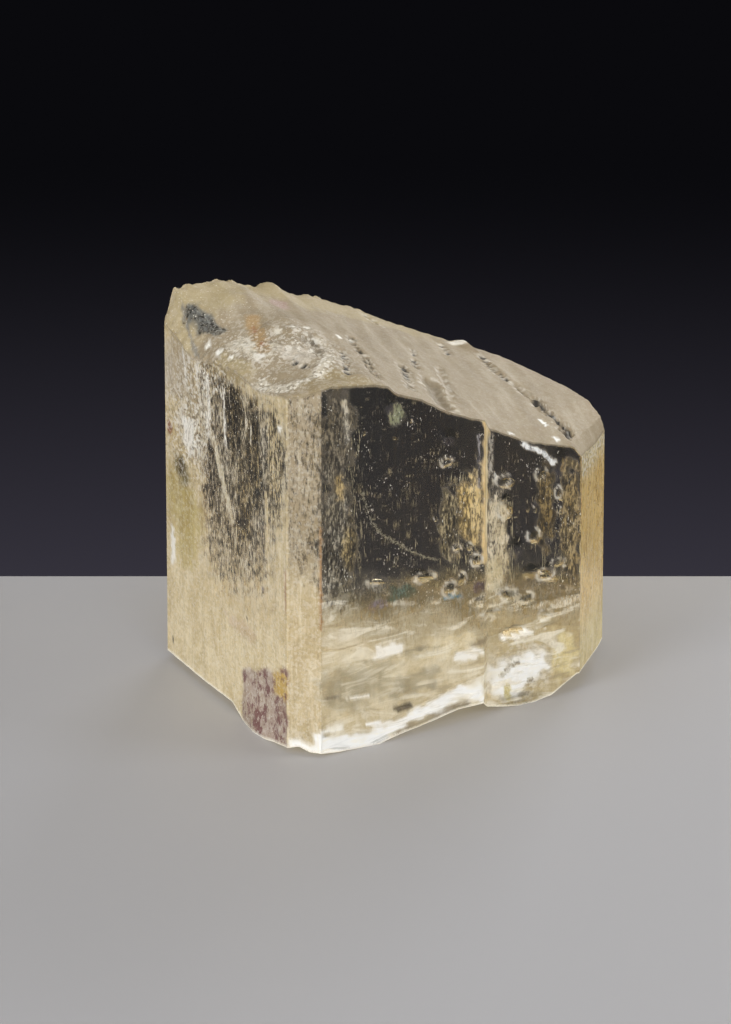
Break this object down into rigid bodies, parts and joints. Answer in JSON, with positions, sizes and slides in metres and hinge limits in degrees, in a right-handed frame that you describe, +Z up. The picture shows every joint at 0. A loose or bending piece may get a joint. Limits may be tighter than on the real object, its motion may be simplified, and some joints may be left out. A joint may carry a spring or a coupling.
{
  "type": "sellaite crystal",
  "caption": "Clear, pale yellow prismatic crystal with bevelled vertical edges, a sloping pitted top and a broken foot that it stands on.",
  "frame": {"origin": "under the middle of the crystal's box, at the level it stands on", "axes": "+Z up along the prism, +X along the wide front face towards the low end of the top, +Y from the front face into the crystal"},
  "size_m": [0.0196, 0.0144, 0.0199],
  "materials": {
    "crystal": "clear prism faces with fine vertical striations and milky veils inside, frosted pitted top, rough broken foot"
  },
  "bodies": {
    "root": {"sellaite_crystal": "crystal"}
  },
  "joints": []
}
